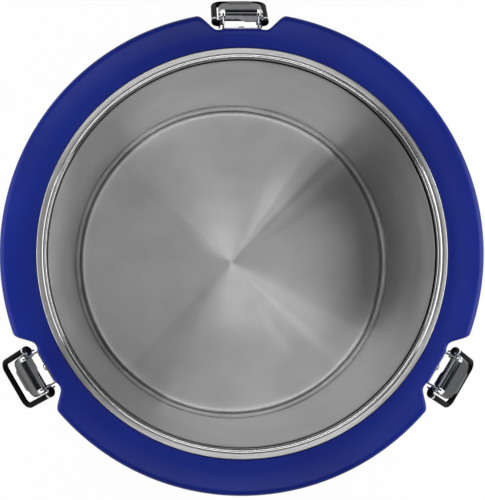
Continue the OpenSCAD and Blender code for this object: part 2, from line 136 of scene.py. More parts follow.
def rounded(corners, steps=8):
    """A path through corners (a, b, radius), each corner turned into an arc.

    An arc starts and ends on the two legs at its radius over the tangent of half the angle between them,
    and its points lie on the circle about the centre on the corner's inner side.
    """
    path = [np.array([corners[0][:2]], float)]
    for before, here, after in zip(corners, corners[1:], corners[2:]):
        corner = np.array(here[:2], float)
        back, on = np.array(before[:2]) - corner, np.array(after[:2]) - corner
        back, on = back / np.linalg.norm(back), on / np.linalg.norm(on)
        half = math.acos(np.clip(back @ on, -1, 1)) / 2
        middle = (back + on) / np.linalg.norm(back + on)
        centre = corner + middle * here[2] / math.sin(half)
        start = corner + back * here[2] / math.tan(half) - centre
        end = corner + on * here[2] / math.tan(half) - centre
        a0, a1 = math.atan2(start[1], start[0]), math.atan2(end[1], end[0])
        sweep = (a1 - a0 + math.pi) % (2 * math.pi) - math.pi
        angle = a0 + sweep * np.linspace(0, 1, steps + 1)
        path.append(centre + here[2] * np.stack([np.cos(angle), np.sin(angle)], -1))
    path.append(np.array([corners[-1][:2]], float))
    return np.concatenate(path)


def arc(centre, radius, start, end, steps=10):
    """Points on a circle about a centre, from one angle to another in degrees."""
    angle = np.radians(np.linspace(start, end, steps + 1))
    return np.array(centre) + radius * np.stack([np.cos(angle), np.sin(angle)], -1)


def revolved(profile, around=48):
    """A profile of (radius, height) turned about Z: x = r cos t, y = r sin t, z = height."""
    turn = np.linspace(0, 2 * math.pi, around, endpoint=False)
    r, z = profile[:, 0, None], profile[:, 1, None]
    return np.stack([r * np.cos(turn), r * np.sin(turn), z + 0 * turn], -1)


def bar(path, radius, edge, around=24):
    """A round bar along an (x, z) path with closed ends whose rims are rounded.

    Each ring is a circle in the plane across the path, which the path's own normal and the Y axis span. At
    both ends the radius falls by the edge along a quarter circle and then to nothing.
    """
    step = np.diff(path, axis=0)
    step /= np.linalg.norm(step, axis=1, keepdims=True)
    along = np.concatenate([step[:1], step[:-1] + step[1:], step[-1:]])
    along /= np.linalg.norm(along, axis=1, keepdims=True)
    lift = np.radians(np.linspace(0, 90, 5))
    ahead = np.concatenate([[0], edge * (1 - np.cos(lift))])
    drop = np.concatenate([[radius], edge * (1 - np.sin(lift))])
    first = path[:1] + ahead[:, None] * along[:1]
    last = path[-1:] - ahead[::-1, None] * along[-1:]
    line = np.concatenate([first, path[1:-1], last])
    way = np.concatenate([np.repeat(along[:1], len(ahead), 0), along[1:-1],
                          np.repeat(along[-1:], len(ahead), 0)])
    size = np.concatenate([radius - drop, np.full(len(path) - 2, radius), radius - drop[::-1]])
    turn = np.linspace(0, 2 * math.pi, around, endpoint=False)
    side = size[:, None] * np.cos(turn)
    return np.stack([line[:, :1] + way[:, 1:] * side, size[:, None] * np.sin(turn),
                     line[:, 1:] - way[:, :1] * side], -1)


def slab(outline, low, high, edge):
    """A plate: a closed outline carried through the thickness, closed at its middle on both faces.

    At both faces the outline is drawn in along its own normals on a quarter circle of the edge radius.
    """
    ahead = np.roll(outline, -1, 0) - np.roll(outline, 1, 0)
    inward = np.stack([-ahead[:, 1], ahead[:, 0]], -1) / np.linalg.norm(ahead, axis=1, keepdims=True)
    inward *= np.sign(np.sum(inward * (outline.mean(0) - outline)))
    lift = np.radians(np.linspace(0, 90, 4))
    draw = edge * (1 - np.sin(lift))
    rise = edge * (1 - np.cos(lift))
    draw = np.concatenate([draw, draw[::-1]])
    level = np.concatenate([low + rise, high - rise[::-1]])
    walls = outline + draw[:, None, None] * inward
    middle = np.broadcast_to(outline.mean(0), walls[:1].shape)
    flat = np.concatenate([middle, walls, middle])
    level = np.concatenate([[low], level, [high]])
    return np.concatenate([flat, np.broadcast_to(level[:, None, None], flat[..., :1].shape)], -1)


def about_x(points, degrees):
    """Points turned about the X axis."""
    c, s = math.cos(math.radians(degrees)), math.sin(math.radians(degrees))
    return points @ np.array([[1, 0, 0], [0, c, s], [0, -s, c]])


def about_z(points, degrees):
    """Points turned about the Z axis."""
    c, s = math.cos(math.radians(degrees)), math.sin(math.radians(degrees))
    return points @ np.array([[c, s, 0], [-s, c, 0], [0, 0, 1]])


def mirrored(grid):
    """A grid and its image on the other side of the latch's middle plane."""
    return [grid, grid * np.array([-1, 1, 1])]


def placed(grids, turn, lean=0.0, pivot=(0, 0, 0)):
    """Grids leaned about X, moved to their pivot and turned about Z to the place of their latch."""
    return [about_z(about_x(grid, lean) + np.array(pivot), turn) for grid in grids]


def piece(name, body, material, grids, stands_for, accents=None, wrap=(False, True), merge=0.002,
          sharp=45.0, turn=True):
    """A piece from grids of points: quads between neighbours, with points that fall together made one.

    accents gives single grids another material, by their place in the list. wrap says whether the rows and
    the columns of a grid close on themselves. Merging closes poles and seams, and turn faces a closed shape
    outwards. The UV map holds a point's place in its grid, row first.
    """
    points, faces, places, tones = [], [], [], []
    materials = [material]
    first = 0
    for k, grid in enumerate(grids):
        rows, cols = grid.shape[:2]
        i, j = np.meshgrid(np.arange(rows - 1 + wrap[0]), np.arange(cols - 1 + wrap[1]), indexing="ij")
        i, j = i[..., None] + np.array([0, 1, 1, 0]), j[..., None] + np.array([0, 0, 1, 1])
        points.append(grid.reshape(-1, 3))
        faces.append((first + i % rows * cols + j % cols).reshape(-1, 4))
        places.append(np.stack([i / rows, j / cols], -1).reshape(-1, 2))
        first += rows * cols
        tone = 0
        if accents and k in accents:
            tone = len(materials)
            materials.append(accents[k])
        tones.append(np.full(len(faces[-1]), tone))
    mesh = bpy.data.meshes.new(name)
    mesh.from_pydata(np.concatenate(points) * MM, [], np.concatenate(faces))
    mesh.uv_layers.new(name="grain").data.foreach_set("uv", np.concatenate(places).ravel())
    for used in materials:
        mesh.materials.append(used)
    mesh.polygons.foreach_set("material_index", np.concatenate(tones))
    form = bmesh.new()
    form.from_mesh(mesh)
    bmesh.ops.remove_doubles(form, verts=form.verts, dist=merge * MM)
    if turn:
        bmesh.ops.recalc_face_normals(form, faces=form.faces)
    form.to_mesh(mesh)
    form.free()
    mesh.shade_smooth()
    mesh.set_sharp_from_angle(angle=math.radians(sharp))
    made = bpy.data.objects.new(name, mesh)
    bpy.context.scene.collection.objects.link(made)
    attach(made, body)
    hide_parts(*stands_for)
    return made


# Shell

def wrapped(degrees):
    """Angles in degrees brought to between -180 and 180."""
    return (degrees + 180) % 360 - 180


def flat_radius(a, y):
    """Radius of a flat face across the middle of a cut, at angles a from there."""
    return y / np.maximum(np.cos(a), COSINE_MIN)


def side_radius(a, reach):
    """Radius of a cut's side faces, where y - |x| is the reach, or far out where they miss the wall."""
    spread = np.cos(a) - np.sin(np.abs(a))
    return np.where(spread > SPREAD_MIN, reach / np.maximum(spread, SPREAD_MIN), 2 * BODY_R)


def pocket_radius(turn, z):
    """Radius that one latch pocket cuts to, at angles from its middle and heights.

    The greatest of the concentric floor, the sides at 45 degrees, and the ledge where y + z is constant; a
    corner between two of them is rounded. The bracket's flat pad stands on the floor.
    """
    a = np.radians(turn)
    side = side_radius(a, math.sqrt(POCKET_R**2 - POCKET_HALF**2) - POCKET_HALF)
    ledge = flat_radius(a, POCKET_LEDGE + POCKET_R - z)
    cut = smooth_max(np.full_like(side + z, POCKET_R), side + 0 * z, CORNER_BLEND)
    cut = smooth_max(cut, ledge, CORNER_BLEND)
    x = np.abs(cut * np.sin(a))
    pad = smooth_step((PAD_HALF - x) / PAD_BLEND + 1) * smooth_step((PAD_TOP - z) / PAD_BLEND + 1)
    pad = pad * smooth_step((z - PAD_LOW) / PAD_BLEND + 1)
    return cut + pad * np.clip(flat_radius(a, PAD_Y) - cut, 0, 1)


def grip_radius(turn, z):
    """Radius that one hand grip cuts to.

    The greatest of its flat back, the sides at 45 degrees, the floor where y + z is constant, and the roof,
    which leads from the back past the wall over a short rise; the corners between them are rounded.
    """
    a = np.radians(turn)
    back, side = flat_radius(a, GRIP_BACK), side_radius(a, GRIP_BACK - GRIP_HALF)
    floor = flat_radius(a, GRIP_ROOF - GRIP_H + GRIP_BACK - z)
    rise = smooth_step((z - GRIP_ROOF + ROOF_LEAD) / ROOF_RISE)
    roof = GRIP_BACK + (BODY_R - GRIP_BACK) * rise * ROOF_REACH
    cut = smooth_max(smooth_max(back + 0 * z, side + 0 * z, GRIP_BLEND), floor, GRIP_BLEND)
    return smooth_max(cut, roof + 0 * a, GRIP_BLEND)


def moulded_shell():
    """The shell's wall as one closed grid: rows along its section, columns round the axis.

    A row gives a radius and a height at every angle. On the side the radius is the section's own, less what
    the nearest pocket or grip cuts away. The rim's edge is an arc from the side to the crowned top ring,
    whose height falls outwards and towards the liner with the square of the distance from where the fall
    starts. Under the base the rows run between the foot's circle and the plug's, with their centre moving
    from one to the other.
    """
    fine = [c + POCKET_COLUMNS for c in POCKET_TURNS]
    fine += [c + s * GRIP_COLUMNS for c in GRIP_TURNS for s in (-1, 1)]
    turn = np.unique(np.round(np.concatenate([COLUMNS] + fine) % 360, 3))[None]

    section = rounded([(FOOT_R - FOOT_ROUND, 0, 0), (FOOT_R, 0, FOOT_ROUND), (SIDE_R, STEP_Z, STEP_ROUND),
                       (BODY_R, BAND_Z, BAND_ROUND), (BODY_R, RIM_Z, 0)])
    foot = section[:10]  # the start and the foot's arc

    def cut_to(radius, z):
        r = radius + 0 * turn
        for c in POCKET_TURNS:
            r = smooth_min(r, pocket_radius(wrapped(turn - c), z), POCKET_BLEND)
        for c in GRIP_TURNS:
            r = smooth_min(r, grip_radius(wrapped(turn - c), z), GRIP_BLEND)
        return r

    def side(z, inset):
        z = z[:, None]
        return cut_to(np.interp(z, section[1:, 1], section[1:, 0]), z) - inset, z + 0 * turn

    def crown(r):
        outward, inward = np.clip(r - CROWN_START, 0, None), np.clip(DISH_START - r, 0, None)
        return RIM_Z - CROWN_DROP * (outward / CROWN_WIDTH) ** 2 - DISH_DROP * (inward / DISH_WIDTH) ** 2

    outer_r, outer_z = side(OUTER_ROWS, 0)
    top_r = outer_r[-1:]
    depth = np.clip((BODY_R - top_r) / (BODY_R - POCKET_R), 0, 1)
    edge = RIM_ROUND + (NOTCH_RIM_ROUND - RIM_ROUND) * smooth_step(depth)
    tilt = np.arctan(2 * CROWN_DROP * np.clip(top_r - edge - CROWN_START, 0, None) / CROWN_WIDTH**2)
    lift = np.linspace(0, 1, 9)[:, None] * (math.pi / 2 - tilt)
    rim_r = top_r - edge + edge * np.cos(lift)
    rim_z = crown(rim_r[-1:]) + edge * (np.sin(lift) - np.sin(lift[-1:]))
    ring = REBATE_R + REBATE_ROUND
    ring_r = rim_r[-1:] + (ring - rim_r[-1:]) * np.linspace(0, 1, 12)[1:, None]
    lip = arc((ring, crown(ring) - REBATE_ROUND), REBATE_ROUND, 90, 180, 4)[1:]
    seat = np.concatenate([lip, [(REBATE_R, REBATE_Z), (OPENING_R, REBATE_Z), (OPENING_R, REBATE_Z - WALL)]])

    inner_r, inner_z = side(INNER_ROWS, WALL)
    inner_foot = arc((FOOT_R - FOOT_ROUND, FOOT_ROUND), FOOT_ROUND - WALL, 0, -90, 5)
    blocks = [
        (foot[:, :1] + 0 * turn, foot[:, 1:] + 0 * turn),
        (outer_r, outer_z), (rim_r, rim_z), (ring_r, crown(ring_r)),
        (seat[:, :1] + 0 * turn, seat[:, 1:] + 0 * turn),
        (cut_to(np.array([[BODY_R]]), np.array([[REBATE_Z]])) - WALL, REBATE_Z - WALL + 0 * turn),
        (inner_r, inner_z),
        (inner_foot[:, :1] + 0 * turn, inner_foot[:, 1:] + 0 * turn)]
    bore = np.array([(PLUG_R, WALL), (PLUG_R, PLUG_SEAT), (PLUG_RIM_R, PLUG_SEAT)]
                    + [(PLUG_RIM_R + out, up) for out, up in BORE_EDGE])
    blocks.append((bore[:, :1] + 0 * turn, bore[:, 1:] + 0 * turn))
    share = np.linspace(0, 1, 6)[1:-1, None]
    blocks.append((bore[-1, 0] + share * (foot[0, 0] - bore[-1, 0]) + 0 * turn, 0 * share + 0 * turn))
    centre = np.concatenate([np.zeros(sum(len(b[0]) for b in blocks[:-2])), np.full(len(bore), PLUG_Y),
                             PLUG_Y * (1 - share[:, 0])])
    r, z = np.concatenate([b[0] for b in blocks]), np.concatenate([b[1] for b in blocks])
    a = np.radians(turn)
    return np.stack([r * np.cos(a), centre[:, None] + r * np.sin(a), z], -1)


# Liner

def spun_liner():
    """The liner's sheet as a closed section turned about Z, in three grids that share their edges.

    The section runs up the inside, through the shallow neck groove under the bead, over the bead and the
    flange, and back outside.
    """
    floor = np.stack([np.linspace(0, FLOOR_R - FLOOR_FILLET, 24), np.full(24, FLOOR_Z)], -1)
    fillet = (FLOOR_R - FLOOR_FILLET, FLOOR_Z + FLOOR_FILLET)
    wall = np.linspace((FLOOR_R, fillet[1]), (MOUTH_R, NECK_LOW), 26)
    neck = np.array([(MOUTH_R, NECK_LOW), (MOUTH_R + NECK_DEPTH, NECK_LOW + NECK_EDGE),
                     (MOUTH_R + NECK_DEPTH, NECK_TOP - NECK_EDGE), (MOUTH_R, NECK_TOP)])
    bead = (MOUTH_R + BEAD_R, BEAD_Z)
    bead_out = MOUTH_R + 2 * BEAD_R
    flange_in = bead_out + GROOVE_W
    edge = (FLANGE_R - FLANGE_EDGE, FLANGE_Z - FLANGE_EDGE)
    low = FLANGE_Z - FLANGE_LIP
    groove = rounded([(bead_out - GROOVE_BACK, BEAD_Z + GROOVE_UP, 0),
                      (bead_out + GROOVE_W / 2, FLANGE_Z - GROOVE_DROP, GROOVE_ROUND),
                      (flange_in + GROOVE_OUT, FLANGE_Z, GROOVE_OUT_ROUND),
                      (flange_in + GROOVE_END, FLANGE_Z, 0)], 4)[1:]
    flange = np.linspace(groove[-1], (edge[0], FLANGE_Z), 5)[1:-1]
    t = SHEET
    inside = np.concatenate([floor, arc(fillet, FLOOR_FILLET, -90, 0, 18)[1:-1], wall])
    rest = np.concatenate([
        neck[-1:], arc(bead, BEAD_R, 180, BEAD_END, 14),
        groove, flange, arc(edge, FLANGE_EDGE, 90, 0, 6), [(FLANGE_R, low), (FLANGE_R - t, low)],
        arc(edge, FLANGE_EDGE - t, 0, 90, 2),
        [(flange_in, FLANGE_Z - t), (bead_out, FLANGE_Z - GROOVE_DROP - t)],
        arc(bead, BEAD_R - t, BEAD_END, 180, 6), arc(fillet, FLOOR_FILLET + t, 0, -90, 6),
        [(0, FLOOR_Z - t)]])
    return [revolved(part, 256) for part in (inside, neck, rest)]


# Latches, at the rear one's place with the pin or the bail's pivot as origin

def flange_back(z):
    """Least y of the lever's flange at heights z.

    Of all straight lines between two points of the outlines round the pin and the bail's pivot and along the
    face, it is where the one that lies furthest back passes that height.
    """
    ring = np.concatenate([arc((0, 0), LOBE_PIN, 90, 270, 40),
                           arc((-BAIL_BACK, -BAIL_BELOW), LOBE_BAIL, 90, 270, 40),
                           [(LEVER_FACE - LEVER_BEND, TAPER_Z), (LEVER_FACE - LEVER_BEND, SHOULDER_Z)]])
    y0, z0, y1, z1 = ring[:, None, 0], ring[:, None, 1], ring[None, :, 0], ring[None, :, 1]
    share = (z[:, None, None] - z0) / np.where(np.abs(z1 - z0) < LEVEL, LEVEL, z1 - z0)
    inside = (share >= -SLACK) & (share <= 1 + SLACK)
    return np.where(inside, y0 + np.clip(share, 0, 1) * (y1 - y0), LEVER_FACE).min((1, 2))


def lever_sheet():
    """The lever's outside face as three grids of bent sheet that share their edges.

    The channel's section at each height runs from the middle of the face over a quarter bend to the back of
    the flange, and is mirrored; lower down the flange ends and the face narrows into the flared finger lip.
    The lobes close the flanges round the pin. The crest carries the face up over a bend to the stepped strip.
    """
    z = np.concatenate([np.linspace(SHOULDER_Z, TAPER_Z, 26), np.linspace(TAPER_Z - TAPER_ROW, LEVER_LOW, 9),
                        np.linspace(LEVER_LOW - LIP_ROW, LIP_LOW, 16)])
    past = np.clip(LIP_LOW + LIP_ROUND - z, 0, None)
    tongue = LIP_HALF - LIP_ROUND + np.sqrt(np.clip(LIP_ROUND**2 - past**2, 0, None))
    half = np.interp(-z, [-SHOULDER_Z, -TAPER_Z, -LEVER_LOW], [LEVER_HALF, LEVER_HALF, TAPER_HALF])
    half = half + (tongue - half) * smooth_step((LEVER_LOW + LIP_LEAD - z) / LIP_BLEND)
    flare = np.clip(LEVER_LOW + FLARE_LEAD - z, 0, None) / (LEVER_LOW + FLARE_LEAD - LIP_LOW)
    front = LEVER_FACE + LIP_FLARE * flare**FLARE_POWER
    bend = LEVER_BEND * np.sqrt(np.clip(1 - (TAPER_Z - z) / LEVER_BEND, 0, 1))
    back = np.where(z < TAPER_Z, front - bend, flange_back(z))
    grain = np.append(FACE_COLS, LEVER_HALF - LEVER_BEND) / (LEVER_HALF - LEVER_BEND)
    quarter = np.radians(np.linspace(0, 90, 7))[1:]
    depth = np.linspace(0, 1, 9)[1:]
    flat = (half - bend)[:, None]
    x = np.concatenate([flat * grain, flat + bend[:, None] * np.sin(quarter),
                        flat + bend[:, None] + 0 * depth[None]], 1)
    y = np.concatenate([front[:, None] + 0 * grain, (front - bend)[:, None] + bend[:, None] * np.cos(quarter),
                        (front - bend)[:, None] + (back - front + bend)[:, None] * depth], 1)
    right = np.stack([x, y, z[:, None] + 0 * x], -1)
    channel = np.concatenate([(right * np.array([-1, 1, 1]))[:, :0:-1], right], 1)

    rise = np.linspace(SHOULDER_Z, LOBE_PIN, 12)
    lobe_back = np.where(rise < LOBE_PIN - SLACK, flange_back(rise), 0)
    lobe_front = np.minimum(LEVER_FACE - LEVER_BEND, np.sqrt(np.clip(LOBE_PIN**2 - rise**2, 0, None)))
    span = np.linspace(0, 1, 9)
    lobe_y = lobe_front[:, None] + (lobe_back - lobe_front)[:, None] * span
    lobe = np.stack([LEVER_HALF + 0 * lobe_y, lobe_y, rise[:, None] + 0 * lobe_y], -1)[::-1]

    cols = np.concatenate([-FACE_COLS[:0:-1], FACE_COLS])
    bow = np.concatenate([[(LEVER_FACE, SHOULDER_Z)],
                          arc((LEVER_FACE - CREST_R, CREST_Z), CREST_R, 0, 90, 8)])
    wave = np.sin(np.pi / 2 * np.clip(cols / WAVE_HALF, -1, 1))
    end = (STRIP_NEAR + STRIP_FAR) / 2 - (STRIP_NEAR - STRIP_FAR) / 2 * wave
    strip = (LEVER_FACE - CREST_R) + (end - LEVER_FACE + CREST_R) * np.linspace(0, 1, 6)[1:, None]
    crest_y = np.concatenate([bow[:, :1] + 0 * cols, strip])
    crest_z = np.concatenate([bow[:, 1], np.full(5, CREST_Z + CREST_R)])[:, None] + 0 * cols
    crest = np.stack([cols + 0 * crest_y, crest_y, crest_z], -1)[::-1]
    return channel, lobe, crest


def bail_path(start):
    """Middle line of the bail below its pivot, from one arm round both corners to the other."""
    return rounded([(-ARM_X, -start, 0), (-ARM_X, -BAIL_LEN, BAIL_CORNER), (ARM_X, -BAIL_LEN, BAIL_CORNER),
                    (ARM_X, -start, 0)], 12)


def turned_in(inner, low):
    """Middle line of the bail's in-turned end on the right: the stub, its bend and the top of the arm."""
    return rounded([(inner, 0, 0), (ARM_X, 0, TURN_R), (ARM_X, -low, 0)], 8)


def wire_path():
    """Middle line of the whole wire, from one in-turned end to the other."""
    return rounded([(-WIRE_END, 0, 0), (-ARM_X, 0, TURN_R), (-ARM_X, -BAIL_LEN, BAIL_CORNER),
                    (ARM_X, -BAIL_LEN, BAIL_CORNER), (ARM_X, 0, TURN_R), (WIRE_END, 0, 0)], 10)


# Materials

def linear(hexcode):
    """An sRGB hex colour as the linear RGBA that a shader takes."""
    c = np.array([int(hexcode[i:i + 2], 16) for i in (1, 3, 5)]) / 255
    return (*np.where(c <= 0.04045, c / 12.92, ((c + 0.055) / 1.055) ** 2.4), 1.0)


def add(tree, kind, values=None, links=None, **settings):
    """Adds one node: its settings, the values of its inputs, and links into its inputs."""
    made = tree.nodes.new(kind)
    for key, value in settings.items():
        setattr(made, key, value)
    for key, value in (values or {}).items():
        made.inputs[key].default_value = value
    for key, socket in (links or {}).items():
        tree.links.new(socket, made.inputs[key])
    return made


def per_mm(size):
    """Scale of a pattern on metre coordinates whose grains are this many millimetres wide."""
    return 1 / (size * MM)


def new_material(name):
    """An empty material and its node tree, with the Principled shader and the output linked."""
    material = bpy.data.materials.new(name)
    material.use_nodes = True
    tree = material.node_tree
    return material, tree, tree.nodes["Principled BSDF"]


# Where on a noise's range a material's darker and lighter tones lie, and how far its dullness varies
TONE_LOW, TONE_HIGH, DULL_SPREAD = 0.3, 0.7, 0.06


def moulded_polyethylene(name, deep, light):
    """Rotomoulded polyethylene: deep even colour with faint clouding, a soft sheen and fine orange peel."""
    material, tree, shader = new_material(name)
    shader.inputs["Specular IOR Level"].default_value = 0.08
    where = add(tree, "ShaderNodeTexCoord").outputs["Object"]
    cloud = add(tree, "ShaderNodeTexNoise", {"Scale": per_mm(60), "Detail": 3.0}, {"Vector": where})
    ramp = add(tree, "ShaderNodeValToRGB", None, {"Fac": cloud.outputs["Fac"]})
    low, high = ramp.color_ramp.elements
    low.position, low.color, high.position, high.color = TONE_LOW, linear(deep), TONE_HIGH, linear(light)
    tree.links.new(ramp.outputs["Color"], shader.inputs["Base Color"])
    # The real peel is finer than a pixel of the render, so it is drawn about three times as coarse.
    peel = add(tree, "ShaderNodeTexNoise", {"Scale": per_mm(1.8), "Detail": 2.0}, {"Vector": where})
    bump = add(tree, "ShaderNodeBump", {"Strength": 0.12, "Distance": 0.4 * MM},
               {"Height": peel.outputs["Fac"]})
    tree.links.new(bump.outputs["Normal"], shader.inputs["Normal"])
    rub = add(tree, "ShaderNodeTexNoise", {"Scale": per_mm(22), "Detail": 4.0}, {"Vector": where})
    rough = add(tree, "ShaderNodeMapRange", {"To Min": 0.28, "To Max": 0.4}, {"Value": rub.outputs["Fac"]})
    tree.links.new(rough.outputs["Result"], shader.inputs["Roughness"])
    return material


# Spun steel: the share of its colour at heights round the floor's edge, and its dullness at all heights
FOOT_LOW, FOOT_TOP, LEVEL_TOP = 40.0, 60.0, 300.0
FLOOR_TONE, RIM_TONE, FLOOR_DULL = 0.8, 0.66, 0.3
# Painted shade in a dark ring at the fillet's foot, and a painted highlight in a bright band up the fillet
FILLET_SHADE_AND_HIGHLIGHT = ((44.05, 0.8), (44.12, 0.7), (44.35, 0.6), (44.6, 0.34), (45.8, 0.34), (46.6, 1.9), (54.0, 1.9),
          (59.0, 1.0))
BUFF = ((44.1, 0.3), (45.0, 0.16), (53.0, 0.16), (60.0, 0.3), (272.0, 0.3), (276.5, 0.14))
SCOUR_FROM, SCOUR_TO, SCOUR_DULL = 148.4, 149.6, 0.18
STREAK_SCALE, STREAK_SEED, STREAK_HEIGHT = 2.6, 1.7, 0.011


def spun_stainless():
    """Stainless steel spun and brushed round its axis: neutral grey, with a fan of sheen across fine rings.

    The fillet round the floor and the bead are buffed smooth, and the flange outside the bead is scoured
    dull. A dark ring at the fillet's foot is painted shade and a bright band up it is a painted highlight,
    and painted shade darkens the wall's top under the bead, with the bead and flange kept as dark.
    """
    material, tree, shader = new_material("spun_stainless_steel")
    shader.inputs["Metallic"].default_value = 1.0
    shader.inputs["Anisotropic"].default_value = 0.95
    where = add(tree, "ShaderNodeTexCoord").outputs["Object"]
    cloud = add(tree, "ShaderNodeTexNoise", {"Scale": per_mm(45), "Detail": 2.0}, {"Vector": where})
    ramp = add(tree, "ShaderNodeValToRGB", None, {"Fac": cloud.outputs["Fac"]})
    low, high = ramp.color_ramp.elements
    low.position, low.color = TONE_LOW, linear("#b2b2b2")
    high.position, high.color = TONE_HIGH, linear("#bebebe")
    height = add(tree, "ShaderNodeSeparateXYZ", None, {0: where})
    # The floor is a little duller than the wall. A dark ring at the fillet's foot is painted shade and a
    # bright band up the fillet is a painted highlight; painted shade darkens the wall's top under the bead,
    # and the bead and flange stay as dark.
    foot = add(tree, "ShaderNodeMapRange", {"From Min": FOOT_LOW * MM, "From Max": FOOT_TOP * MM},
               {"Value": height.outputs["Z"]})
    fillet_shade_and_highlight = add(tree, "ShaderNodeValToRGB", None, {"Fac": foot.outputs["Result"]})
    fillet_shade_and_highlight.color_ramp.elements.remove(fillet_shade_and_highlight.color_ramp.elements[1])
    fillet_shade_and_highlight.color_ramp.elements[0].position = 0
    fillet_shade_and_highlight.color_ramp.elements[0].color = (FLOOR_TONE, FLOOR_TONE, FLOOR_TONE, 1)
    for z, value in FILLET_SHADE_AND_HIGHLIGHT:
        at = (z - FOOT_LOW) / (FOOT_TOP - FOOT_LOW)
        fillet_shade_and_highlight.color_ramp.elements.new(at).color = (value, value, value, 1)
    # Painted shade: darker up the neck under the bead, and the bead and flange above stay as dark
    neck_shade_and_dark_rim = add(tree, "ShaderNodeMapRange",
               {"From Min": NECK_LOW * MM, "From Max": NECK_TOP * MM, "To Min": 1.0, "To Max": RIM_TONE},
               {"Value": height.outputs["Z"]})
    tone = add(tree, "ShaderNodeVectorMath", None, {0: ramp.outputs["Color"], 1: fillet_shade_and_highlight.outputs["Color"]},
               operation="MULTIPLY")
    tone = add(tree, "ShaderNodeVectorMath", None, {0: tone.outputs[0], 1: neck_shade_and_dark_rim.outputs["Result"]},
               operation="MULTIPLY")
    tree.links.new(tone.outputs[0], shader.inputs["Base Color"])
    level = add(tree, "ShaderNodeMapRange", {"From Max": LEVEL_TOP * MM}, {"Value": height.outputs["Z"]})
    buff = add(tree, "ShaderNodeValToRGB", None, {"Fac": level.outputs["Result"]})
    buff.color_ramp.elements.remove(buff.color_ramp.elements[1])
    buff.color_ramp.elements[0].position = 0
    buff.color_ramp.elements[0].color = (FLOOR_DULL, FLOOR_DULL, FLOOR_DULL, 1)
    for z, value in BUFF:
        buff.color_ramp.elements.new(z / LEVEL_TOP).color = (value, value, value, 1)
    flat = add(tree, "ShaderNodeVectorMath", {1: (1, 1, 0)}, {0: where}, operation="MULTIPLY")
    reach = add(tree, "ShaderNodeVectorMath", None, {0: flat.outputs[0]}, operation="LENGTH")
    scoured = add(tree, "ShaderNodeMapRange",
                  {"From Min": SCOUR_FROM * MM, "From Max": SCOUR_TO * MM, "To Max": SCOUR_DULL},
                  {"Value": reach.outputs["Value"]})
    rough = add(tree, "ShaderNodeMath", {1: DULL_SPREAD},
                {0: cloud.outputs["Fac"], 2: buff.outputs["Color"]}, operation="MULTIPLY_ADD")
    rough = add(tree, "ShaderNodeMath", None, {0: rough.outputs[0], 1: scoured.outputs["Result"]})
    tree.links.new(rough.outputs["Value"], shader.inputs["Roughness"])
    tangent = add(tree, "ShaderNodeTangent", direction_type="UV_MAP", uv_map="grain")
    tree.links.new(tangent.outputs["Tangent"], shader.inputs["Tangent"])
    # The drawn sheet is a little uneven from place to place round the axis: streaks up the wall and out
    # across the floor, whose height grows with the distance from the axis.
    way = add(tree, "ShaderNodeVectorMath", None, {0: flat.outputs[0]}, operation="NORMALIZE")
    wave = add(tree, "ShaderNodeTexNoise", {"Scale": STREAK_SCALE, "Detail": 2.0, "W": STREAK_SEED},
               {"Vector": way.outputs[0]}, noise_dimensions="4D")
    swell = add(tree, "ShaderNodeMath", None, {0: wave.outputs["Fac"], 1: reach.outputs["Value"]},
                operation="MULTIPLY")
    bump = add(tree, "ShaderNodeBump", {"Strength": 1.0, "Distance": STREAK_HEIGHT},
               {"Height": swell.outputs[0]})
    tree.links.new(bump.outputs["Normal"], shader.inputs["Normal"])
    return material


def bright_steel(name, dark, light, smooth, dull, edge=1.0):
    """Bright latch steel: cold grey mirror with a faint rolling grain and handling marks in its gloss.

    The edge is the share of light that it keeps when seen at a slant.
    """
    material, tree, shader = new_material(name)
    shader.inputs["Metallic"].default_value = 1.0
    shader.inputs["Specular Tint"].default_value = (edge, edge, edge, 1)
    where = add(tree, "ShaderNodeTexCoord").outputs["Object"]
    mark = add(tree, "ShaderNodeTexNoise", {"Scale": per_mm(6), "Detail": 4.0}, {"Vector": where})
    ramp = add(tree, "ShaderNodeValToRGB", None, {"Fac": mark.outputs["Fac"]})
    low, high = ramp.color_ramp.elements
    low.position, low.color, high.position, high.color = TONE_LOW, linear(dark), TONE_HIGH, linear(light)
    tree.links.new(ramp.outputs["Color"], shader.inputs["Base Color"])
    rough = add(tree, "ShaderNodeMapRange", {"To Min": smooth, "To Max": dull},
                {"Value": mark.outputs["Fac"]})
    tree.links.new(rough.outputs["Result"], shader.inputs["Roughness"])
    grain = add(tree, "ShaderNodeTexNoise", {"Scale": per_mm(0.9), "Detail": 2.0}, {"Vector": where})
    bump = add(tree, "ShaderNodeBump", {"Strength": 0.05, "Distance": 0.1 * MM},
               {"Height": grain.outputs["Fac"]})
    tree.links.new(bump.outputs["Normal"], shader.inputs["Normal"])
    return material


def soft_matter(name, dark, light, grain, depth, rough, shine=0.5):
    """Foam, silicone or sleeving: a grained surface of two near tones with its own dullness."""
    material, tree, shader = new_material(name)
    shader.inputs["Specular IOR Level"].default_value = shine
    where = add(tree, "ShaderNodeTexCoord").outputs["Object"]
    grit = add(tree, "ShaderNodeTexNoise", {"Scale": per_mm(grain), "Detail": 3.0}, {"Vector": where})
    ramp = add(tree, "ShaderNodeValToRGB", None, {"Fac": grit.outputs["Fac"]})
    low, high = ramp.color_ramp.elements
    low.position, low.color, high.position, high.color = TONE_LOW, linear(dark), TONE_HIGH, linear(light)
    tree.links.new(ramp.outputs["Color"], shader.inputs["Base Color"])
    dull = add(tree, "ShaderNodeMapRange", {"To Min": rough - DULL_SPREAD, "To Max": rough + DULL_SPREAD},
               {"Value": grit.outputs["Fac"]})
    tree.links.new(dull.outputs["Result"], shader.inputs["Roughness"])
    bump = add(tree, "ShaderNodeBump", {"Strength": 0.3, "Distance": depth * MM},
               {"Height": grit.outputs["Fac"]})
    tree.links.new(bump.outputs["Normal"], shader.inputs["Normal"])
    return material


